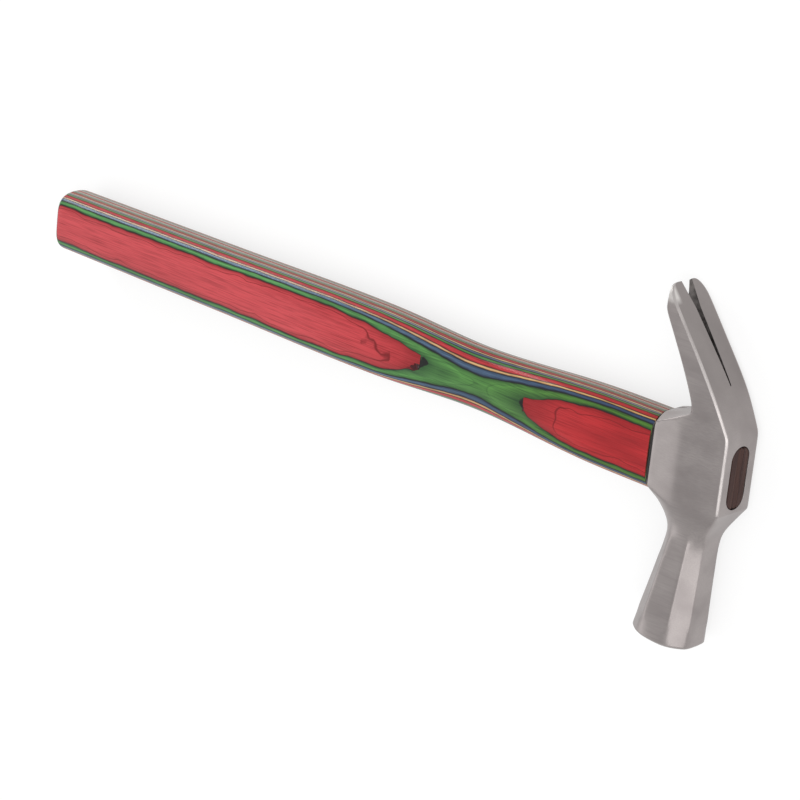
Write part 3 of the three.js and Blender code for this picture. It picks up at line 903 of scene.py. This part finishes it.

# The bead is a black ring that fills the joint between the head and the handle's shoulder,
# trimmed a little below both.
bead_recess, bead_edge_recess, bead_ease = 0.3, 0.6, 0.4
bead_points, bead_cut_past = 96, 2
bead_recesses = {
    shoulder - glue_gap: bead_edge_recess,
    shoulder - bead_ease: bead_recess,
    collar_length + bead_ease: bead_recess,
    collar_length + glue_gap: bead_edge_recess,
}
height, thickness, square = section_at(shoulder)
bead_rows = []
for behind, recess in bead_recesses.items():
    section = (height - recess, thickness - recess, square)
    outline = []
    for i in range(bead_points):
        turn = 2 * pi * (i + 0.5) / bead_points
        y, z = skin_point(section, asin(abs(sin(turn))))
        y *= 1 if cos(turn) > 0 else -1
        outline.append(place(-behind, y - handle_drop, z * (1 if sin(turn) > 0 else -1)))
    bead_rows.append(outline)
bead = add_skin("black_joint_bead", bead_rows)
cutter_ends = -shoulder - bead_cut_past, -collar_length + bead_cut_past
eye_outline = slot_outline(eye_height, eye_width, eye_drop, eye_points)
cut(bead, add_skin("bead_cutter", [[place(x, y, z) for y, z in eye_outline] for x in cutter_ends]))
finish_mesh(bead)
shade_facets(bead, small_piece_angle)
joint_black, tree, shader = new_material("black_joint")
spot = add_node(tree, "ShaderNodeTexCoord").outputs["Object"]
cloudy = streaks(tree, spot, (300, 300, 300), 2)
tone = blend(tree, between(tree, cloudy, 0.3, 0.7), colour(14, 11, 11), colour(30, 24, 23))
tree.links.new(tone, shader.inputs["Base Color"])
tree.links.new(between(tree, cloudy, 0.3, 0.7, 0.3, 0.45), shader.inputs["Roughness"])
dress(bead, joint_black)
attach(bead, "root")
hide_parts("resin_bead")

# The stage is a white table in a light tent, with a soft box at each end of the hammer and a
# small one past the butt; the camera looks down on the near cheek from the head's end.
table_size, table_drop = 12, 0.0004
paper_grey, paper_glow = 0.3, 0.72
tent_glow = 0.76
white = (1, 1, 1, 1)
bpy.ops.object.select_all(action="DESELECT")
bpy.ops.mesh.primitive_plane_add(size=table_size, location=(0, 0, -table_drop))
floor = bpy.context.object
floor.name = "white_table"
paper, tree, shader = new_material("white_paper")
tree.nodes.remove(shader)
lit = add_node(tree, "ShaderNodeBsdfDiffuse", {"Color": (paper_grey, paper_grey, paper_grey, 1)})
shown = add_node(tree, "ShaderNodeEmission", {"Color": white, "Strength": paper_glow})
rays = add_node(tree, "ShaderNodeLightPath").outputs
seen = reckon(tree, "MAXIMUM", rays["Is Camera Ray"], rays["Is Glossy Ray"])
seen = reckon(tree, "MAXIMUM", seen, rays["Is Transmission Ray"])
lifted = add_node(tree, "ShaderNodeAddShader", {0: lit.outputs[0], 1: shown.outputs[0]})
shaded = add_node(tree, "ShaderNodeMixShader", {0: seen, 1: lit.outputs[0], 2: lifted.outputs[0]})
tree.links.new(shaded.outputs[0], tree.nodes["Material Output"].inputs["Surface"])
floor.data.materials.append(paper)

world = bpy.data.worlds.new("light_tent")
bpy.context.scene.world = world
world.use_nodes = True
tree = world.node_tree
tent = tree.nodes["Background"]
tent.inputs["Color"].default_value = white
tent.inputs["Strength"].default_value = tent_glow
backdrop = add_node(tree, "ShaderNodeBackground", {"Color": white, "Strength": 1})
rays = add_node(tree, "ShaderNodeLightPath").outputs
shaded = add_node(
    tree, "ShaderNodeMixShader", {0: rays["Is Camera Ray"], 1: tent.outputs[0], 2: backdrop.outputs[0]}
)
tree.links.new(shaded.outputs[0], tree.nodes["World Output"].inputs["Surface"])

# The way to each box from the middle of the stage, its distance, its size and its power
soft_boxes = {
    "head_end_box": ((0.7, 0.02, 0.64), 1.3, 1.05, 7.5),
    "handle_end_box": ((-0.8, -0.33, 0.5), 1.4, 0.8, 1.6),
    "butt_box": ((-0.742, 0.609, 0.277), 0.9, 0.3, 2.2),
}
for name, (way, far, size, power) in soft_boxes.items():
    lamp = bpy.data.lights.new(name, "AREA")
    lamp.shape = "SQUARE"
    lamp.size = size
    lamp.energy = power
    box = bpy.data.objects.new(name, lamp)
    bpy.context.scene.collection.objects.link(box)
    way = Vector(way).normalized()
    box.matrix_world = Matrix.Translation(way * far) @ way.to_track_quat("Z", "Y").to_matrix().to_4x4()

sensor_width, lens = 36, 148.68
camera_place = 589.94, 373.39, 858.31
camera_data = bpy.data.cameras.new("camera")
camera_data.sensor_fit = "HORIZONTAL"
camera_data.sensor_width = sensor_width
camera_data.lens = lens
camera = bpy.data.objects.new("camera", camera_data)
bpy.context.scene.collection.objects.link(camera)
right = Vector((0.7293, 0.1015, -0.6766)).normalized()
ahead = Vector((-0.6176, -0.3279, -0.7149))
ahead = (ahead - right * ahead.dot(right)).normalized()
upright = right.cross(ahead)
turned = Matrix((right, upright, -ahead)).transposed().to_4x4()
camera.matrix_world = Matrix.Translation(place(*camera_place)) @ turned
bpy.context.scene.camera = camera
bpy.context.scene.view_settings.view_transform = "Standard"
